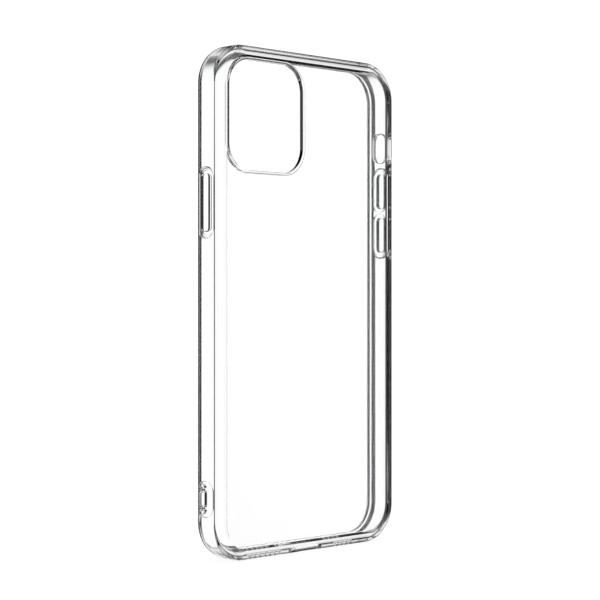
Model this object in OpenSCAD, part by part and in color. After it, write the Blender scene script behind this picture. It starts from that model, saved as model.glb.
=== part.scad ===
// Clear phone case: a hard back plate in a flexible bumper frame, with three key pads that
// press on thin webs. It is modelled lying on its screen side and then stood on its bottom end.
// Millimetres. Origin at the middle of the bottom end, +Z to the top end, -Y out of the back.

/* [Case] */
// Width over the side walls, without the key pads
case_w = 79; // [77:0.5:82]
// Height over the end walls
case_h = 155; // [152:0.5:160]
// Depth from the lip's front to the back plate's outer face
case_d = 11.2; // [10.8:0.1:12.4]
// Corner radius of the outline
corner_r = 12; // [11:0.5:14]
// Rounding of the wall's edge on the screen side
front_round = 2; // [1.5:0.1:2.1]
// Rounding of the wall's edge on the back
back_round = 3.2; // [3:0.1:3.6]

/* [Walls] */
// Thickness of the two side walls
side_t = 1.6; // [1.4:0.1:2]
// Thickness of the top and bottom walls
end_t = 2; // [1.8:0.1:2.4]
// Thickness of the back plate
plate_t = 1.35; // [1.2:0.05:1.6]
// Width of frame between the outline and the back plate's edge
plate_inset = 2.3; // [2.2:0.1:2.6]
// Thickness of the lip in front of the screen's edge
lip_t = 1.45; // [1.2:0.05:1.7]
// How far the lip reaches over the screen's edge
lip_reach = 0.6; // [0.6:0.1:1.2]
// Corner radius of the pocket that holds the phone
pocket_r = 10.2; // [9:0.1:11]

/* [Camera opening] */
// Width of the opening inside the guard
camera_w = 31.2; // [28:0.2:32]
// Height of the opening inside the guard
camera_h = 33; // [30:0.2:36]
// Corner radius of the opening
camera_r = 8; // [6:0.5:10]
// Width of the guard rim round the opening
guard_w = 0.9; // [0.6:0.1:1.2]
// How far the guard stands out from the back plate
guard_proud = 0.3; // [0.2:0.1:0.5]
// Distance of the opening's middle from the case's centre line
camera_x = 19.7; // [18:0.1:20.5]
// Distance of the opening's middle from the top end
camera_from_top = 21.3; // [20.5:0.1:26]

/* [Key pads] */
// Width of a pad across the wall
pad_w = 3.2; // [2.4:0.1:3.6]
// How far a pad stands out from the wall
pad_proud = 0.5; // [0.3:0.1:0.8]
// Length of the power pad
power_len = 17.3; // [12:0.1:19]
// Distance of the power pad's middle from the top end
power_from_top = 47.8; // [44:0.1:60]
// Length of each volume pad
volume_len = 11.4; // [9:0.1:12]
// Distance of the upper volume pad's middle from the top end
volume_up_from_top = 41.1; // [41:0.1:43]
// Distance of the lower volume pad's middle from the top end
volume_down_from_top = 55.4; // [55.2:0.1:60]
// Width of the recess round the pads, across the wall
recess_w = 6; // [5:0.1:6.2]
// Length of recess past the pads' ends
recess_margin = 1.8; // [1.4:0.1:2.2]
// Width of web round each pad
web_margin = 1.1; // [0.9:0.05:1.2]
// Thickness of the flexible webs
web_t = 0.45; // [0.3:0.05:0.6]
// Depth of the recess down to a web
web_depth = 0.7; // [0.5:0.05:0.8]

/* [Openings] */
// Length of the mute-switch opening
mute_len = 9.6; // [8:0.1:11]
// Width of the mute-switch opening
mute_w = 5; // [4.4:0.1:5.2]
// Distance of the mute-switch opening's middle from the top end
mute_from_top = 27; // [24:0.1:28]
// Length of the charging-port opening
port_len = 14; // [12:0.5:16]
// Width of the charging-port opening
port_w = 6.2; // [5.4:0.1:6.6]
// Spacing of the holes in the speaker and microphone grilles
grille_pitch = 2.1; // [1.9:0.1:2.2]
// Diameter of the grille holes
grille_hole_d = 1.2; // [0.8:0.1:1.4]

/* [Lanyard anchor] */
// Diameter of the two cord holes
cord_hole_d = 1.7; // [1.4:0.1:2]
// Spacing of the two cord holes
cord_hole_pitch = 5.5; // [5:0.1:6]
// Distance of the anchor's middle from the bottom end
anchor_from_bottom = 19; // [18.5:0.1:24]

/* [Hidden] */
$fn = 96;
past = 1; // how far a cutter runs past the face it cuts

// Depths are measured from the lip's front face, which lies at z = 0 before the case is stood up.
front_y = (case_d + guard_proud) / 2;
plate_z = case_d - plate_t;
mid_z = (lip_t + plate_z) / 2;
keys_shift = 0.4; // the keys' middle line lies this far from the pocket's, towards the screen
keys_z = mid_z - keys_shift;
pocket_w = case_w - 2 * side_t;
pocket_h = case_h - 2 * end_t;
mouth_w = pocket_w - 2 * lip_reach;
mouth_h = pocket_h - 2 * lip_reach;

pad_corner = 1.2;
pad_edge = 0.35;
pad_gap = 0.06; // running clearance of a pad in its web
recess_corner = 2.6;
web_gap = 0.02; // bonding line between a web and the frame
pad_under = case_w / 2 - web_depth - web_t;

grille_depth = 0.9; // depth of the slot that the holes open into
grille_slot_w = 3.2;
speaker_holes = 7;
speaker_x = -17.5;
microphone_holes = 4;
microphone_x = 17.7;
grille_margin = 1.65; // slot length past its last hole's middle

anchor_shift = 2.35; // of the boss and of its recess, from the pocket's middle line
anchor_recess_shift = 0.8;
anchor_z = mid_z - anchor_shift;
anchor_recess_z = mid_z - anchor_recess_shift;
anchor_w = 3.4;
anchor_len = 9.4;
anchor_recess_w = 6.9;
anchor_recess_len = 10.6;
anchor_recess_corner = 3;
anchor_depth = 0.85;

// Rounded rectangle centred on the origin.
module rounded_rect(size, r) {
    square([size[0] - 2 * r, size[1]], center = true);
    square([size[0], size[1] - 2 * r], center = true);
    for (x = [-1, 1], y = [-1, 1])
        translate([x * (size[0] / 2 - r), y * (size[1] / 2 - r)]) circle(r);
}

module pill(size) {
    r = size[1] / 2;
    square([size[0] - 2 * r, size[1]], center = true);
    for (x = [-1, 1]) translate([x * (size[0] / 2 - r), 0]) circle(r);
}

// Section of a rounded edge, from the corner's axis outwards.
module edge_section(r, height, low_round, high_round) {
    big = max(low_round, high_round);
    square([r - big, height]);
    translate([0, low_round]) square([r, height - low_round - high_round]);
    if (low_round > 0) {
        square([r - low_round, height - high_round]);
        translate([r - low_round, low_round]) circle(low_round);
    }
    translate([r - high_round, height - high_round]) circle(high_round);
}

// Block centred in x and y, with rounded corners and rounded lower and upper edges.
module soft_block(size, r, low_round, high_round) {
    half = [size[0] / 2 - r, size[1] / 2 - r];
    corner = [[1, 1], [-1, 1], [-1, -1], [1, -1]];
    for (k = [0:3])
        translate([corner[k][0] * half[0], corner[k][1] * half[1], 0]) rotate([0, 0, 90 * k]) {
            rotate_extrude(angle = 90) edge_section(r, size[2], low_round, high_round);
            rotate([90, 0, 0])
                linear_extrude(2 * (k % 2 == 0 ? half[1] : half[0]))
                    edge_section(r, size[2], low_round, high_round);
        }
    translate([-half[0], -half[1], 0]) cube([2 * half[0], 2 * half[1], size[2]]);
}

// The case lies with its middle at the origin of x and y; this stands it on its bottom end.
module stand_up() {
    translate([0, front_y, case_h / 2]) rotate([90, 0, 0]) children();
}

// Moves a shape drawn flat onto the right wall (side = 1) or the left wall (side = -1).
// Its x runs along the wall, its y across the wall, and it is extruded outwards.
module on_wall(side, from_top, depth_z, inner_x, height) {
    translate([side * inner_x, case_h / 2 - from_top, depth_z])
        rotate([90, 0, side * 90]) linear_extrude(height) children();
}

// Moves a shape drawn flat onto the bottom wall, extruded inwards from just outside it.
module on_bottom(x, depth) {
    translate([x, -case_h / 2 - past, mid_z])
        rotate([-90, 0, 0]) linear_extrude(depth + past) children();
}

module outer_blank() {
    soft_block([case_w, case_h, case_d], corner_r, front_round, back_round);
}

module plate_outline() {
    rounded_rect([case_w - 2 * plate_inset, case_h - 2 * plate_inset], corner_r - plate_inset);
}

module at_camera() {
    translate([-camera_x, case_h / 2 - camera_from_top, 0]) children();
}

module guard_outline() {
    rounded_rect([camera_w + 2 * guard_w, camera_h + 2 * guard_w], camera_r + guard_w);
}

// Outline of a pad, grown all round.
module pad_outline(length, grow) {
    rounded_rect([length + 2 * grow, pad_w + 2 * grow], pad_corner + grow);
}

// The recess round the pads, whose middles are at first and last, with a window for each web.
module key_cut(side, first, last, length) {
    recess_len = last - first + length + 2 * recess_margin;
    on_wall(side, (first + last) / 2, keys_z, case_w / 2 - web_depth, web_depth + past)
        rounded_rect([recess_len, recess_w], recess_corner);
    for (from_top = first == last ? [first] : [first, last])
        on_wall(side, from_top, keys_z, case_w / 2 - side_t - past, side_t + past)
            pad_outline(length, web_margin);
}

module grille(x, holes) {
    span = (holes - 1) * grille_pitch;
    on_bottom(x, grille_depth) pill([span + 2 * grille_margin, grille_slot_w]);
    on_bottom(x, end_t + past)
        for (i = [0:holes - 1]) translate([i * grille_pitch - span / 2, 0]) circle(d = grille_hole_d);
}

module lanyard_anchor_cut() {
    from_top = case_h - anchor_from_bottom;
    floor_x = case_w / 2 - anchor_depth;
    difference() {
        on_wall(-1, from_top, anchor_recess_z, floor_x, anchor_depth + past)
            rounded_rect([anchor_recess_len, anchor_recess_w], anchor_recess_corner);
        on_wall(-1, from_top, anchor_z, floor_x - past, anchor_depth + past)
            pill([anchor_len, anchor_w]);
    }
    on_wall(-1, from_top, anchor_z, case_w / 2 - side_t - past, side_t + 2 * past)
        for (s = [-1, 1]) translate([s * cord_hole_pitch / 2, 0]) circle(d = cord_hole_d);
}

module back_plate() {
    color([0.93, 0.95, 0.96, 0.35]) stand_up() difference() {
        intersection() {
            outer_blank();
            translate([0, 0, plate_z]) linear_extrude(plate_t + past) plate_outline();
        }
        at_camera() translate([0, 0, plate_z - past]) linear_extrude(plate_t + 2 * past) guard_outline();
    }
}

module bumper_frame() {
    color([0.88, 0.91, 0.93, 0.35]) stand_up() difference() {
        outer_blank();
        translate([0, 0, lip_t]) linear_extrude(plate_z - lip_t) rounded_rect([pocket_w, pocket_h], pocket_r);
        translate([0, 0, -past])
            linear_extrude(lip_t + 2 * past) rounded_rect([mouth_w, mouth_h], pocket_r - lip_reach);
        translate([0, 0, plate_z - past]) linear_extrude(plate_t + 2 * past) plate_outline();
        key_cut(-1, power_from_top, power_from_top, power_len);
        key_cut(1, volume_up_from_top, volume_down_from_top, volume_len);
        on_wall(1, mute_from_top, keys_z, case_w / 2 - side_t - past, side_t + 2 * past)
            pill([mute_len, mute_w]);
        on_bottom(0, end_t + past) pill([port_len, port_w]);
        grille(speaker_x, speaker_holes);
        grille(microphone_x, microphone_holes);
        lanyard_anchor_cut();
    }
}

module camera_guard() {
    color([0.85, 0.88, 0.9, 0.5]) stand_up() at_camera() translate([0, 0, plate_z])
        linear_extrude(plate_t + guard_proud) difference() {
            guard_outline();
            rounded_rect([camera_w, camera_h], camera_r);
        }
}

module key_pad(side, from_top, length) {
    color([0.8, 0.84, 0.88, 0.6]) stand_up()
        translate([side * pad_under, case_h / 2 - from_top, keys_z]) rotate([90, 0, side * 90])
            soft_block([length, pad_w, case_w / 2 + pad_proud - pad_under], pad_corner, 0, pad_edge);
}

module key_web(side, from_top, length) {
    color([0.9, 0.92, 0.95, 0.4]) stand_up()
        on_wall(side, from_top, keys_z, pad_under, web_t) difference() {
            pad_outline(length, web_margin - web_gap);
            pad_outline(length, pad_gap);
        }
}

module power_button() { key_pad(-1, power_from_top, power_len); }
module power_button_web() { key_web(-1, power_from_top, power_len); }
module volume_up_button() { key_pad(1, volume_up_from_top, volume_len); }
module volume_up_web() { key_web(1, volume_up_from_top, volume_len); }
module volume_down_button() { key_pad(1, volume_down_from_top, volume_len); }
module volume_down_web() { key_web(1, volume_down_from_top, volume_len); }

back_plate();
bumper_frame();
camera_guard();
power_button();
power_button_web();
volume_up_button();
volume_up_web();
volume_down_button();
volume_down_web();
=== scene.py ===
"""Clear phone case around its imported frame: moulded clear pieces, studio floor, light and camera."""
import math

import bmesh
import bpy
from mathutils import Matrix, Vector


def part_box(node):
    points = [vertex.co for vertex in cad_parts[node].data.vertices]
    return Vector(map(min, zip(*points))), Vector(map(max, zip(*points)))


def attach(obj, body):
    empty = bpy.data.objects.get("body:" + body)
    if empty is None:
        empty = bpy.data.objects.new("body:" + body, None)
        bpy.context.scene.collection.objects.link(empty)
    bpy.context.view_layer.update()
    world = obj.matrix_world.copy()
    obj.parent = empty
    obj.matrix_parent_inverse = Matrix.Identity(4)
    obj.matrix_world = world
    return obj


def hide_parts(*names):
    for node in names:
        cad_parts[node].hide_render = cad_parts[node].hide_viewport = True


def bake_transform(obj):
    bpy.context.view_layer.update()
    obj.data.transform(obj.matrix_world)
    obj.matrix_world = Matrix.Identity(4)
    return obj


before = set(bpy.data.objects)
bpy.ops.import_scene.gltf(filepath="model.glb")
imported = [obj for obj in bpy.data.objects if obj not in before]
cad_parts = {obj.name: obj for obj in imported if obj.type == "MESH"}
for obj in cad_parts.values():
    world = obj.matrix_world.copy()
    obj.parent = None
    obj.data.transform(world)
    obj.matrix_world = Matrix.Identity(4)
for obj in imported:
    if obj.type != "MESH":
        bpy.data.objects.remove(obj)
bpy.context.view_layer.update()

MM = 0.001

# Sizes of the CAD model that the frame's boxes don't give.
CORNER_R = 12 * MM
BACK_ROUND = 3.2 * MM
PLATE_T = 1.35 * MM
SIDE_T = 1.6 * MM
END_T = 2 * MM
LIP_T = 1.45 * MM
LIP_REACH = 0.6 * MM
POCKET_R = 10.2 * MM
GUARD_W = 0.9 * MM
GUARD_R = 8.9 * MM
PAD_CORNER = 1.2 * MM
KEYS_FORWARD = 0.4 * MM
RECESS_W = 6 * MM
RECESS_CORNER = 2.6 * MM
RECESS_MARGIN = 1.8 * MM
RECESS_DEPTH = 0.7 * MM
WEB_T = 0.45 * MM
WEB_MARGIN = 1.1 * MM
MUTE_LEN = 9.6 * MM
MUTE_W = 5 * MM
MUTE_FROM_TOP = 27 * MM
PORT_LEN = 14 * MM
PORT_W = 6.2 * MM
SPEAKER_X, SPEAKER_HOLES = -17.5 * MM, 7
MICROPHONE_X, MICROPHONE_HOLES = 17.7 * MM, 4
GRILLE_PITCH = 2.1 * MM
GRILLE_HOLE_D = 1.2 * MM
GRILLE_SLOT_W = 3.2 * MM
GRILLE_DEPTH = 0.9 * MM
GRILLE_MARGIN = 1.65 * MM
ANCHOR_Z = 19 * MM
ANCHOR_LEN = 9.4 * MM
ANCHOR_W = 3.4 * MM
ANCHOR_FORWARD = 2.35 * MM
ANCHOR_DEPTH = 0.85 * MM
ANCHOR_RECESS_LEN = 10.6 * MM
ANCHOR_RECESS_W = 6.9 * MM
ANCHOR_RECESS_R = 3 * MM
ANCHOR_RECESS_FORWARD = 0.8 * MM
CORD_HOLE_D = 1.7 * MM
CORD_HOLE_PITCH = 5.5 * MM

# Roundings of the moulded pieces, and gaps between them that are too thin to see.
FRONT_ROUND = 3.2 * MM
POCKET_BACK_ROUND = 1.9 * MM
POCKET_LIP_ROUND = 1.4 * MM
LIP_ROUND = 0.35 * MM
LIP_BACK_ROUND = 0.15 * MM
GUARD_CROWN = 0.28 * MM
GUARD_INNER_CROWN = 0.6 * MM
GUARD_INNER_FOOT = 0.12 * MM
PAD_FOOT = 0.12 * MM
PAD_EDGE = 0.4 * MM
PAD_CROWN = 0.05 * MM
EDGE_ROUND = 0.22 * MM
OPENING_ROUND = 0.3 * MM
GRILLE_HOLE_ROUND = 0.1 * MM
CORD_HOLE_ROUND = 0.12 * MM
FLOOR_ROUND = 0.15 * MM
BOND_GAP = 0.02 * MM
PAD_GAP = 0.03 * MM

# A web meets its pad between these heights over its underside.
SKIRT_UNDER, SKIRT_TOP = 0.33 * MM, 0.76 * MM

# How far these arcs turn, in degrees. The lip's root stops short, which leaves its back an edge.
LIP_BACK_TURN = 50
LIP_ROOT_SHORT = 8
PAD_EDGE_TURN = 82

# Profiles in mm: growth beyond the pad's outline or the recess's, and height over the web's underside
# or the recess's floor. The crown's are steps inwards, and shares of its height left to climb.
WEB_UPPER = [(0.86, 0.46), (0.66, 0.51), (0.26, 0.66), (0.14, 0.7)]
WEB_LOWER = [(0.12, 0.29), (0.6, 0.07), (0.8, 0.01)]
DISH = [(-0.34, 0), (-0.24, 0.02), (-0.1, 0.12), (0.04, 0.3), (0.16, 0.5), (0.26, 0.64), (0.4, 0.73),
        (0.62, 0.78)]
CROWN = [(0.4, 0.3), (0.8, 0)]

# How finely shapes are drawn, and how far cutters run past what they cut.
CORNER_STEPS = 28
CUTTER_CORNER_STEPS = 12
RIM_ANGLES = [math.radians(t) for t in range(0, 81, 16)]
FOOT_ANGLES = [math.radians(t) for t in range(0, 91, 18)]
SMALLEST_R = 0.02 * MM
PAST = 1 * MM

# Points this near, in metres, are one point. Edges sharper than this angle stay sharp, and large faces
# count this much in the shading of what lies next to them.
TOUCHING = 1e-7
SHARP_DEG = 40
AREA_WEIGHT = 80

# Places in a mesh's list of materials, which starts with its own plastic. A face of the plate is a pane
# where its normal runs along y by more than this share.
BOND_SLOT = 1
PANE_SLOT = 2
FLAT_NORMAL = 0.9999

# Each key's pad and the web that joins it to the wall.
KEYS = [("power_button", "power_button_web"), ("volume_up_button", "volume_up_web"),
        ("volume_down_button", "volume_down_web")]

# Sizes and places that follow from the frame's own boxes.
shell_low, shell_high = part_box("bumper_frame")
plate_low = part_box("back_plate")[0]
guard_low, guard_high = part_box("camera_guard")
CASE_W = shell_high.x - shell_low.x
CASE_H = shell_high.z - shell_low.z
SIDE_X = CASE_W / 2
FRONT_Y = shell_high.y
BACK_Y = plate_low.y
MIDDLE = (shell_low + shell_high) / 2
PLATE_INSET = plate_low.x - shell_low.x
GUARD_MIDDLE = (guard_low + guard_high) / 2
GUARD_SIZE = (guard_high.x - guard_low.x, guard_high.z - guard_low.z)
POCKET_BACK_Y = BACK_Y + PLATE_T
POCKET_FOOT_Y = POCKET_BACK_Y + POCKET_BACK_ROUND
LIP_BACK_Y = FRONT_Y - LIP_T
POCKET_MIDDLE_Y = (LIP_BACK_Y + POCKET_BACK_Y) / 2
KEYS_Y = POCKET_MIDDLE_Y + KEYS_FORWARD
ANCHOR_Y = POCKET_MIDDLE_Y + ANCHOR_FORWARD
ANCHOR_RECESS_Y = POCKET_MIDDLE_Y + ANCHOR_RECESS_FORWARD
MUTE_Z = CASE_H - MUTE_FROM_TOP


# --- Shapes ------------------------------------------------------------------------------------


def arc(centre, radius, start, end, steps):
    """Points of an arc in a section, angles in degrees."""
    angles = [math.radians(start + (end - start) * i / steps) for i in range(steps + 1)]
    return [(centre[0] + radius * math.cos(a), centre[1] + radius * math.sin(a)) for a in angles]


def turn_for(reach, radius):
    """The angle in degrees over which an arc moves sideways by reach from where it is upright."""
    return math.degrees(math.acos(1 - reach / radius))


def rounded_loop(width, height, radius, steps=CORNER_STEPS):
    """Points round a rounded rectangle centred on the origin, the same number for any size."""
    radius = max(radius, SMALLEST_R)
    points = []
    for k, (sx, sy) in enumerate([(1, 1), (-1, 1), (-1, -1), (1, -1)]):
        centre = (sx * (width / 2 - radius), sy * (height / 2 - radius))
        points += arc(centre, radius, 90 * k, 90 * k + 90, steps)
    return points


def loft(name, rings, place, closed=False, bonds=()):
    """A mesh through rings of (points, depth). A closed one joins its last ring to its first.

    The strips that start at the rings numbered in bonds are where it is moulded onto a neighbour.
    """
    mesh = bmesh.new()
    rows = [[mesh.verts.new(place(a, b, depth)) for a, b in points] for points, depth in rings]
    pairs = list(zip(rows, rows[1:])) + ([(rows[-1], rows[0])] if closed else [])
    for k, (low, high) in enumerate(pairs):
        for i in range(len(low)):
            j = (i + 1) % len(low)
            face = mesh.faces.new((low[i], low[j], high[j], high[i]))
            face.material_index = BOND_SLOT if k in bonds else 0
    if not closed:
        mesh.faces.new(rows[0])
        mesh.faces.new(rows[-1])
    bmesh.ops.remove_doubles(mesh, verts=mesh.verts, dist=TOUCHING)
    bmesh.ops.recalc_face_normals(mesh, faces=mesh.faces)
    data = bpy.data.meshes.new(name)
    mesh.to_mesh(data)
    mesh.free()
    data.materials.append(None)
    data.materials.append(bond)
    piece = bpy.data.objects.new(name, data)
    bpy.context.scene.collection.objects.link(piece)
    return piece


def apply_modifiers(piece):
    """Turns the piece's modifiers into plain mesh."""
    bpy.context.view_layer.objects.active = piece
    for modifier in list(piece.modifiers):
        bpy.ops.object.modifier_apply(modifier=modifier.name)


def cut(piece, cutter):
    """Cuts the cutter's shape out of the piece. The cutter is then gone."""
    modifier = piece.modifiers.new("cut", "BOOLEAN")
    modifier.operation = "DIFFERENCE"
    modifier.solver = "MANIFOLD"
    modifier.object = cutter
    apply_modifiers(piece)
    bpy.data.objects.remove(cutter)


def finish_surface(piece):
    """Smooth shading with true flats: faces are weighed by their area."""
    bm = bmesh.new()
    bm.from_mesh(piece.data)
    bmesh.ops.remove_doubles(bm, verts=bm.verts, dist=2 * TOUCHING)
    bmesh.ops.dissolve_degenerate(bm, edges=bm.edges, dist=TOUCHING)
    bm.to_mesh(piece.data)
    bm.free()
    piece.data.shade_smooth()
    piece.data.set_sharp_from_angle(angle=math.radians(SHARP_DEG))
    weighted = piece.modifiers.new("weighted", "WEIGHTED_NORMAL")
    weighted.keep_sharp = True
    weighted.weight = AREA_WEIGHT
    apply_modifiers(piece)


# --- Where each kind of shape is drawn ---------------------------------------------------------


def facing_back(x, z):
    """Loops parallel to the back, round the point x, z. Their depth is the row's y."""
    return lambda a, b, y: Vector((x + a, y, z + b))


def on_wall(side, y, z):
    """Loops parallel to a side wall: a runs up, b runs across, depth is the distance out from x = 0."""
    return lambda a, b, out: Vector((side * out, y + b, z + a))


def on_bottom(x, y):
    """Loops parallel to the bottom wall: a runs right, b runs across, depth is the row's z."""
    return lambda a, b, z: Vector((x + a, y + b, z))


# --- Cutters, with the small rounded rims that a mould leaves ----------------------------------


def rounded_edge(surface, outwards, size):
    """Steps of (growth, depth) from a hole's wall over a rounded edge, almost up to its surface."""
    return [(size * (1 - math.cos(a)), surface - outwards * size * (1 - math.sin(a))) for a in RIM_ANGLES]


def rim(surface, outwards, size):
    """A hole's rounded edge, and on past the surface."""
    steps = rounded_edge(surface, outwards, size)
    return steps + [(steps[-1][0], surface + outwards * PAST)]


def grown(size, radius, steps):
    """Rings for loft: the rounded rectangle of that size, grown and placed by each step."""
    return [(rounded_loop(size[0] + 2 * g, size[1] + 2 * g, radius + g, CUTTER_CORNER_STEPS), depth)
            for g, depth in steps]


def through_cutter(name, place, size, inner, outer, rounding):
    """A round-ended hole from the surface at depth inner to the one at outer, both with rounded rims."""
    way = 1 if outer > inner else -1
    steps = list(reversed(rim(inner, -way, rounding))) + rim(outer, way, rounding)
    return loft(name, grown(size, size[1] / 2, steps), place)


def recess_cutter(name, place, size, radius, floor, surface):
    """A pocket from a surface down to a floor with a small round at its foot."""
    way = 1 if surface > floor else -1
    foot = [(-FLOOR_ROUND * (1 - math.sin(a)), floor + way * FLOOR_ROUND * (1 - math.cos(a)))
            for a in FOOT_ANGLES]
    return loft(name, grown(size, radius, foot + rim(surface, way, EDGE_ROUND)), place)


def grille_cutters(x, holes):
    """The slot and the row of small holes of one grille in the bottom wall."""
    span = (holes - 1) * GRILLE_PITCH
    size = (span + 2 * GRILLE_MARGIN, GRILLE_SLOT_W)
    slot = recess_cutter("slot", on_bottom(x, POCKET_MIDDLE_Y), size, GRILLE_SLOT_W / 2, GRILLE_DEPTH, 0)
    cutters = [slot]
    for i in range(holes):
        place = on_bottom(x + i * GRILLE_PITCH - span / 2, POCKET_MIDDLE_Y)
        hole = (GRILLE_HOLE_D, GRILLE_HOLE_D)
        cutters.append(through_cutter("hole", place, hole, END_T, GRILLE_DEPTH, GRILLE_HOLE_ROUND))
    return cutters


def anchor_cutters():
    """The lanyard anchor: a recess round a pill-shaped boss, and the two cord holes through it."""
    floor = SIDE_X - ANCHOR_DEPTH
    recess = recess_cutter("recess", on_wall(-1, ANCHOR_RECESS_Y, ANCHOR_Z),
                           (ANCHOR_RECESS_LEN, ANCHOR_RECESS_W), ANCHOR_RECESS_R, floor, SIDE_X)
    edge = [(-growth, depth) for growth, depth in rounded_edge(SIDE_X, 1, EDGE_ROUND)]
    steps = [(0, floor - PAST)] + edge + [(edge[-1][0], SIDE_X + 2 * PAST)]
    boss = loft("boss", grown((ANCHOR_LEN, ANCHOR_W), ANCHOR_W / 2, steps),
                on_wall(-1, ANCHOR_Y, ANCHOR_Z))
    cut(recess, boss)
    cutters = [recess]
    for s in (-1, 1):
        place = on_wall(-1, ANCHOR_Y, ANCHOR_Z + s * CORD_HOLE_PITCH / 2)
        hole = (CORD_HOLE_D, CORD_HOLE_D)
        cutters.append(through_cutter("hole", place, hole, SIDE_X - SIDE_T, SIDE_X, CORD_HOLE_ROUND))
    return cutters


def side_of(node):
    """1 for a piece on the right wall, -1 for one on the left."""
    return 1 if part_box(node)[0].x > 0 else -1


def pad_place(node):
    """The middle of a pad's box, its length up the wall and its width across it."""
    low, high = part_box(node)
    return (low + high) / 2, high.z - low.z, high.y - low.y


def key_cutters(side, *nodes):
    """One shallow dish round all the pads named, and a window through the wall for each pad's web."""
    heights = [pad_place(n)[0].z for n in nodes]
    length, width = pad_place(nodes[0])[1:]
    low, high = min(heights), max(heights)
    size = (high - low + length + 2 * RECESS_MARGIN, RECESS_W)
    floor = SIDE_X - RECESS_DEPTH
    steps = [(growth * MM, floor + rise * MM) for growth, rise in DISH]
    cutters = [loft("recess", grown(size, RECESS_CORNER, steps), on_wall(side, KEYS_Y, (low + high) / 2))]
    window = (length + 2 * WEB_MARGIN, width + 2 * WEB_MARGIN)
    steps = [(0, SIDE_X - SIDE_T - PAST), (0, floor - WEB_T), (0, floor), (0, SIDE_X + PAST)]
    for z in heights:
        cutters.append(loft("window", grown(window, PAD_CORNER + WEB_MARGIN, steps),
                            on_wall(side, KEYS_Y, z), bonds=[1]))
    return cutters


# --- Pieces ------------------------------------------------------------------------------------


def outer_ring(inset, y):
    """Ring at that inset from the case's outline."""
    return rounded_loop(CASE_W - 2 * inset, CASE_H - 2 * inset, CORNER_R - inset), y


def pocket_ring(inset, y):
    """Ring at that inset from the pocket's wall."""
    width, height = CASE_W - 2 * SIDE_T, CASE_H - 2 * END_T
    return rounded_loop(width - 2 * inset, height - 2 * inset, POCKET_R - inset), y


def pocket_foot():
    """The rounding from the pocket's wall to the plate's inner face, and a little of that face."""
    round_in = arc((POCKET_BACK_ROUND, POCKET_FOOT_Y), POCKET_BACK_ROUND, 180, 270, 14)
    return round_in + [(POCKET_BACK_ROUND + PAST, POCKET_BACK_Y)]


def front_turn():
    """How far the front rounding turns, in degrees, before the lip's own crest takes over."""
    return turn_for(SIDE_T + LIP_REACH - LIP_ROUND, FRONT_ROUND)


def crest_y():
    """The lip's crest, where the front rounding ends."""
    return FRONT_Y - FRONT_ROUND + FRONT_ROUND * math.sin(math.radians(front_turn()))


def lip_section():
    """The lip from its crest over its edge to its back and its root, as insets from the pocket's wall."""
    crest = arc((LIP_REACH - LIP_ROUND, crest_y() - LIP_ROUND), LIP_ROUND, 90, 0, 7)
    root_turn = turn_for(LIP_REACH, POCKET_LIP_ROUND) - LIP_ROOT_SHORT
    root = arc((POCKET_LIP_ROUND, LIP_BACK_Y - POCKET_LIP_ROUND), POCKET_LIP_ROUND, 180 - root_turn, 180, 10)
    back_y = root[0][1] + LIP_BACK_ROUND
    back = arc((LIP_REACH - LIP_BACK_ROUND, back_y), LIP_BACK_ROUND, 0, -LIP_BACK_TURN, 4)
    return crest + back + root


def make_frame_blank():
    """The bumper's section, swept round the case as one closed loft, and the plate's place cut out."""
    back = arc((BACK_ROUND, BACK_Y + BACK_ROUND), BACK_ROUND, 270, 180, 24)
    front = arc((FRONT_ROUND, FRONT_Y - FRONT_ROUND), FRONT_ROUND, 180, 180 - front_turn(), 20)
    rings = [outer_ring(BACK_ROUND + PAST, BACK_Y)] + [outer_ring(*p) for p in back + front]
    rings += [pocket_ring(*p) for p in lip_section() + pocket_foot()]
    piece = loft("bumper_frame_clear", rings, facing_back(MIDDLE.x, MIDDLE.z), closed=True)
    prism = [outer_ring(PLATE_INSET, y) for y in (BACK_Y - PAST, POCKET_FOOT_Y)]
    cut(piece, loft("plate_place", prism, facing_back(MIDDLE.x, MIDDLE.z), bonds=[0]))
    return piece


def make_bumper_frame():
    """The flexible wall round the case, with its openings, the keys' recesses and the lanyard anchor."""
    piece = make_frame_blank()
    cutters = key_cutters(-1, "power_button")
    cutters += key_cutters(1, "volume_up_button", "volume_down_button")
    cutters.append(through_cutter("mute", on_wall(1, KEYS_Y, MUTE_Z), (MUTE_LEN, MUTE_W),
                                  SIDE_X - SIDE_T, SIDE_X, OPENING_ROUND))
    cutters.append(through_cutter("port", on_bottom(0, POCKET_MIDDLE_Y), (PORT_LEN, PORT_W),
                                  END_T, 0, OPENING_ROUND))
    cutters += grille_cutters(SPEAKER_X, SPEAKER_HOLES)
    cutters += grille_cutters(MICROPHONE_X, MICROPHONE_HOLES)
    cutters += anchor_cutters()
    for cutter in cutters:
        cut(piece, cutter)
    finish_surface(piece)
    return piece


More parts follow.
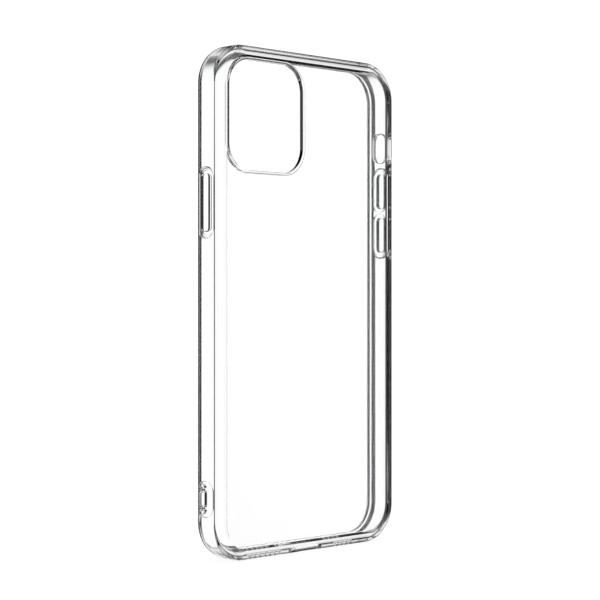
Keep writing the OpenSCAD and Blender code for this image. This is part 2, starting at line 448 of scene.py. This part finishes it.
def make_back_plate():
    """The plate carries on the frame's roundings, outside and in, and is flat up to the guard."""
    inset = PLATE_INSET + BOND_GAP
    edge = arc((BACK_ROUND, BACK_Y + BACK_ROUND), BACK_ROUND, 180 + turn_for(inset, BACK_ROUND), 270, 8)
    rings = [outer_ring(inset, POCKET_FOOT_Y)] + [outer_ring(*p) for p in edge]
    piece = loft("back_plate_clear", rings, facing_back(MIDDLE.x, MIDDLE.z), bonds=[0])
    pocket = [pocket_ring(0, POCKET_FOOT_Y + PAST)] + [pocket_ring(*p) for p in pocket_foot()]
    cut(piece, loft("pocket", pocket, facing_back(MIDDLE.x, MIDDLE.z)))
    width, height = [side + 2 * BOND_GAP for side in GUARD_SIZE]
    opening = [(rounded_loop(width, height, GUARD_R + BOND_GAP), y)
               for y in (BACK_Y - PAST, POCKET_BACK_Y + PAST)]
    cut(piece, loft("opening", opening, facing_back(GUARD_MIDDLE.x, GUARD_MIDDLE.z), bonds=[0]))
    piece.data.materials.append(pane)
    for face in piece.data.polygons:
        if abs(face.normal.y) > FLAT_NORMAL:
            face.material_index = PANE_SLOT
    finish_surface(piece)
    return piece


def make_camera_guard():
    """A rounded rim that stands out from the plate all round the camera opening."""
    width, height = GUARD_SIZE
    top = guard_low.y
    inner_crown, inner_foot = GUARD_INNER_CROWN, GUARD_INNER_FOOT
    section = [(0, POCKET_BACK_Y), (0, BACK_Y)]
    section += arc((GUARD_CROWN, top + GUARD_CROWN), GUARD_CROWN, 180, 270, 7)
    section += arc((GUARD_W - inner_crown, top + inner_crown), inner_crown, 270, 360, 12)
    section += arc((GUARD_W - inner_foot, POCKET_BACK_Y - inner_foot), inner_foot, 0, 90, 4)
    rings = [(rounded_loop(width - 2 * s, height - 2 * s, GUARD_R - s), y) for s, y in section]
    piece = loft("camera_guard_clear", rings, facing_back(GUARD_MIDDLE.x, GUARD_MIDDLE.z), closed=True,
                 bonds=[0])
    finish_surface(piece)
    return piece


def make_pad(node):
    """A key pad with rounded edges and a faint crown."""
    centre, length, width = pad_place(node)
    under, top = sorted(abs(corner.x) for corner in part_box(node))
    foot = [(x - PAD_FOOT, y) for x, y in arc((0, under + PAD_FOOT), PAD_FOOT, 270, 360, 4)]
    skirt = [(0, under + SKIRT_UNDER), (0, under + SKIRT_TOP)]
    edge = arc((0, top - PAD_CROWN - PAD_EDGE), PAD_EDGE, 0, PAD_EDGE_TURN, 8)
    edge = [(x - PAD_EDGE, y) for x, y in edge]
    crown = [(-PAD_EDGE - inwards * MM, top - left * PAD_CROWN) for inwards, left in CROWN]
    piece = loft(node + "_clear", grown((length, width), PAD_CORNER, foot + skirt + edge + crown),
                 on_wall(side_of(node), centre.y, centre.z), bonds=[len(foot)])
    finish_surface(piece)
    return piece


def make_web(node, pad):
    """The thin skirt that climbs a little from the wall's window to the pad."""
    centre, length, width = pad_place(pad)
    base = SIDE_X - RECESS_DEPTH - WEB_T
    outside = WEB_MARGIN - BOND_GAP
    upper = [(outside, WEB_T)] + [(g * MM, rise * MM) for g, rise in WEB_UPPER] + [(PAD_GAP, SKIRT_TOP)]
    lower = [(PAD_GAP, SKIRT_UNDER)] + [(g * MM, rise * MM) for g, rise in WEB_LOWER] + [(outside, 0)]
    steps = [(growth, base + rise) for growth, rise in upper + lower]
    piece = loft(node + "_clear", grown((length, width), PAD_CORNER, steps),
                 on_wall(side_of(pad), centre.y, centre.z), closed=True,
                 bonds=[len(upper) - 1, len(steps) - 1])
    finish_surface(piece)
    return piece


# --- Materials ---------------------------------------------------------------------------------


def make_clear_plastic(name, tint, ior, roughness, wave):
    """Clear moulded plastic with faint flow waves and a breath of haze."""
    material = bpy.data.materials.new(name)
    material.use_nodes = True
    nodes, links = material.node_tree.nodes, material.node_tree.links
    shader = nodes["Principled BSDF"]
    shader.inputs["Base Color"].default_value = (*tint, 1)
    shader.inputs["Transmission Weight"].default_value = 1
    shader.inputs["IOR"].default_value = ior
    place = nodes.new("ShaderNodeTexCoord")
    haze = nodes.new("ShaderNodeTexNoise")
    haze.inputs["Scale"].default_value = 90
    haze.inputs["Detail"].default_value = 3
    links.new(place.outputs["Object"], haze.inputs["Vector"])
    spread = nodes.new("ShaderNodeMapRange")
    spread.inputs["From Min"].default_value = 0.35
    spread.inputs["From Max"].default_value = 0.75
    spread.inputs["To Min"].default_value = roughness[0]
    spread.inputs["To Max"].default_value = roughness[1]
    links.new(haze.outputs["Fac"], spread.inputs["Value"])
    links.new(spread.outputs["Result"], shader.inputs["Roughness"])
    flow = nodes.new("ShaderNodeTexNoise")
    flow.inputs["Scale"].default_value = 60
    flow.inputs["Detail"].default_value = 1
    links.new(place.outputs["Object"], flow.inputs["Vector"])
    bump = nodes.new("ShaderNodeBump")
    bump.inputs["Strength"].default_value = wave
    bump.inputs["Distance"].default_value = 0.02 * MM
    links.new(flow.outputs["Fac"], bump.inputs["Height"])
    links.new(bump.outputs["Normal"], shader.inputs["Normal"])
    return material


def make_bond():
    """Nothing shows where two pieces are moulded together: light passes straight from one to the other."""
    material = bpy.data.materials.new("moulded_bond")
    material.use_nodes = True
    material.node_tree.nodes["Principled BSDF"].inputs["Alpha"].default_value = 0
    return material


def make_pane(name, alpha):
    """The plate's flat faces: a pane this thin and even bends nothing, and only glints a little."""
    material = hard.copy()
    material.name = name
    material.node_tree.nodes["Principled BSDF"].inputs["Alpha"].default_value = alpha
    return material


def dress(piece, material, slot, *nodes):
    """Gives a piece its plastic, and puts it in the place of its plain nodes. The slot is not used."""
    piece.data.materials[0] = material
    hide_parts(*nodes)
    return piece


# --- Stage -------------------------------------------------------------------------------------

# The studio's bright fields, in degrees: where each edge starts and where it ends. Azimuths are folded
# into one quarter turn, in which the case's walls face 0 and the camera looks along the middle.
FIELD_AHEAD = (26, 30, 50, 54)
FIELD_SQUARE_ON = (4.2, 5, 85, 85.8)
FIELD_TOP = (10, 14)
FIELD_FOOT = (-56, -50)
GAP_TOP = (-16, -12)
GAP_FOOT = (-38, -34)
OVERHEAD = (60, 68)

# The same for light that has been reflected inside the plastic, which sees them far dimmer.
RETURNED_AHEAD = (33, 38, 50, 55)
RETURNED_SQUARE_ON = (3, 6, 84, 87)
RETURNED_SHARE = 0.1
GUIDED = (10, 42)
GUIDED_LEVEL = 0.9

DARK_LEVEL = 0.05
STUDIO_STRENGTH = 1.08

# Light that has crossed more surfaces than this has gone through more than one wall.
ONE_WALL = 2.5


def make_floor():
    """A pale light table. Light that has passed through the case sees the studio below it, not the table."""
    bpy.ops.mesh.primitive_circle_add(vertices=96, radius=1.5, fill_type="NGON", location=(0, 0, 0))
    floor = bpy.context.object
    floor.name = "floor"
    material = bpy.data.materials.new("light_table")
    material.use_nodes = True
    shader = material.node_tree.nodes["Principled BSDF"]
    shader.inputs["Base Color"].default_value = (0.12, 0.12, 0.12, 1)
    shader.inputs["Roughness"].default_value = 0.9
    shader.inputs["Specular IOR Level"].default_value = 0
    shader.inputs["Emission Color"].default_value = (1, 1, 1, 1)
    shader.inputs["Emission Strength"].default_value = 0.92
    floor.data.materials.append(material)
    floor.visible_transmission = False
    floor.visible_glossy = False


class WorldNodes:
    """Short forms for the arithmetic of the studio's world."""

    def __init__(self, tree):
        self.nodes, self.links = tree.nodes, tree.links
        self.direction = self.nodes.new("ShaderNodeTexCoord").outputs["Generated"]

    def math(self, operation, *values):
        """A sum, product or comparison of numbers and sockets."""
        node = self.nodes.new("ShaderNodeMath")
        node.operation = operation
        for socket, value in zip(node.inputs, values):
            if isinstance(value, (int, float)):
                socket.default_value = value
            else:
                self.links.new(value, socket)
        return node.outputs[0]

    def along(self, axis):
        """How far the ray's direction runs along an axis."""
        node = self.nodes.new("ShaderNodeVectorMath")
        node.operation = "DOT_PRODUCT"
        self.links.new(self.direction, node.inputs[0])
        node.inputs[1].default_value = axis
        return node.outputs["Value"]

    def rise(self, value, start, end, low=0, high=1):
        """low below start, high above end, and a smooth climb between them."""
        node = self.nodes.new("ShaderNodeMapRange")
        node.interpolation_type = "SMOOTHSTEP"
        self.links.new(value, node.inputs["Value"])
        for name, number in (("From Min", start), ("From Max", end), ("To Min", low), ("To Max", high)):
            node.inputs[name].default_value = number
        return node.outputs["Result"]

    def fall(self, value, start, end, low=0, high=1):
        """high below start, low above end, and a smooth drop between them."""
        return self.math("SUBTRACT", high + low, self.rise(value, start, end, low, high))

    def between(self, value, start, full, fading, end):
        """1 from full to fading, 0 before start and after end."""
        return self.math("MULTIPLY", self.rise(value, start, full), self.fall(value, fading, end))

    def around(self, value, fading, end, start, full):
        """0 from end to start, 1 before fading and after full."""
        return self.math("MAXIMUM", self.rise(value, start, full), self.fall(value, fading, end))

    def choose(self, switch, yes, no):
        """yes where the switch is 1, no where it is 0."""
        return self.math("ADD", self.math("MULTIPLY", switch, yes),
                         self.math("MULTIPLY", self.math("SUBTRACT", 1, switch), no))


def make_world():
    """Bright fields behind the case, as the photographer of clear things sets up, with dark between them."""
    bpy.context.scene.view_settings.view_transform = "Standard"
    world = bpy.data.worlds.new("studio")
    bpy.context.scene.world = world
    world.use_nodes = True
    w = WorldNodes(world.node_tree)
    path = w.nodes.new("ShaderNodeLightPath").outputs
    degrees = 180 / math.pi
    azimuth = w.math("MULTIPLY", w.math("ARCTAN2", w.along((1, 0, 0)), w.along((0, 1, 0))), degrees)
    elevation = w.math("MULTIPLY", w.math("ARCSINE", w.along((0, 0, 1))), degrees)
    steepness = w.math("ABSOLUTE", elevation)
    turn = w.math("MODULO", w.math("ADD", azimuth, 720), 90)

    fields = w.math("MAXIMUM", w.between(turn, *FIELD_AHEAD), w.around(turn, *FIELD_SQUARE_ON))
    fields = w.math("MULTIPLY", fields, w.fall(elevation, *FIELD_TOP, DARK_LEVEL))
    fields = w.math("MULTIPLY", fields, w.rise(elevation, *FIELD_FOOT, DARK_LEVEL))

    # Light that has gone through more than one wall also sees a dark gap a little below the horizon.
    gap = w.math("MAXIMUM", w.rise(elevation, *GAP_TOP, DARK_LEVEL), w.fall(elevation, *GAP_FOOT))
    one_wall = w.math("LESS_THAN", path["Transmission Depth"], ONE_WALL)
    fields = w.math("MULTIPLY", fields, w.math("MAXIMUM", gap, one_wall))
    direct = w.math("MAXIMUM", fields, w.rise(steepness, *OVERHEAD))

    returned = w.math("MAXIMUM", w.between(turn, *RETURNED_AHEAD), w.around(turn, *RETURNED_SQUARE_ON))
    returned = w.math("MULTIPLY", returned, RETURNED_SHARE)
    guided = w.math("MAXIMUM", w.rise(steepness, *GUIDED, 0, GUIDED_LEVEL), returned)
    bounces = w.math("MULTIPLY", path["Glossy Depth"], path["Transmission Depth"])
    seen = w.choose(w.math("GREATER_THAN", bounces, 0.5), guided, direct)

    open_air = w.math("MAXIMUM", path["Is Camera Ray"], path["Is Diffuse Ray"])
    background = w.nodes["Background"]
    w.links.new(w.math("MAXIMUM", seen, open_air), background.inputs["Color"])
    background.inputs["Strength"].default_value = STUDIO_STRENGTH


def make_camera():
    """The camera stands to the left behind the case, level, and a little above its middle."""
    azimuth = math.radians(45.76)
    behind, across, above = 538.5, 0.3, 0.77
    ahead = Vector((math.sin(azimuth), math.cos(azimuth), 0))
    right = Vector((math.cos(azimuth), -math.sin(azimuth), 0))
    data = bpy.data.cameras.new("camera")
    data.lens = 103.17
    data.sensor_width = 36
    data.clip_start = 0.01
    camera = bpy.data.objects.new("camera", data)
    camera.location = MIDDLE - ahead * behind * MM + right * across * MM + Vector((0, 0, above * MM))
    camera.rotation_euler = ahead.to_track_quat("-Z", "Y").to_euler()
    bpy.context.scene.collection.objects.link(camera)
    bpy.context.scene.camera = camera


# --- Build -------------------------------------------------------------------------------------

make_camera()
make_floor()
make_world()

SOFT_TINT = (0.98, 0.985, 0.985)
bond = make_bond()
hard = make_clear_plastic("clear_polycarbonate", (0.985, 0.99, 0.99), ior=1.5, roughness=(0, 0.03), wave=0.05)
keys = make_clear_plastic("clear_keys", SOFT_TINT, ior=1.18, roughness=(0.01, 0.05), wave=0.1)
pane = make_pane("clear_polycarbonate_pane", alpha=0.06)
soft = make_clear_plastic("clear_polyurethane", SOFT_TINT, ior=1.5, roughness=(0.01, 0.05), wave=0.1)

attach(dress(make_back_plate(), hard, "hard_clear", "back_plate"), "case")
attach(dress(make_bumper_frame(), soft, "soft_clear", "bumper_frame"), "case")
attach(dress(make_camera_guard(), soft, "guard_clear", "camera_guard"), "case")
for pad, web in KEYS:
    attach(dress(make_pad(pad), keys, "pad_clear", pad), pad)
    skirt = dress(make_web(web, pad), keys, "web_clear", web)
    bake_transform(skirt)

bpy.context.view_layer.update()
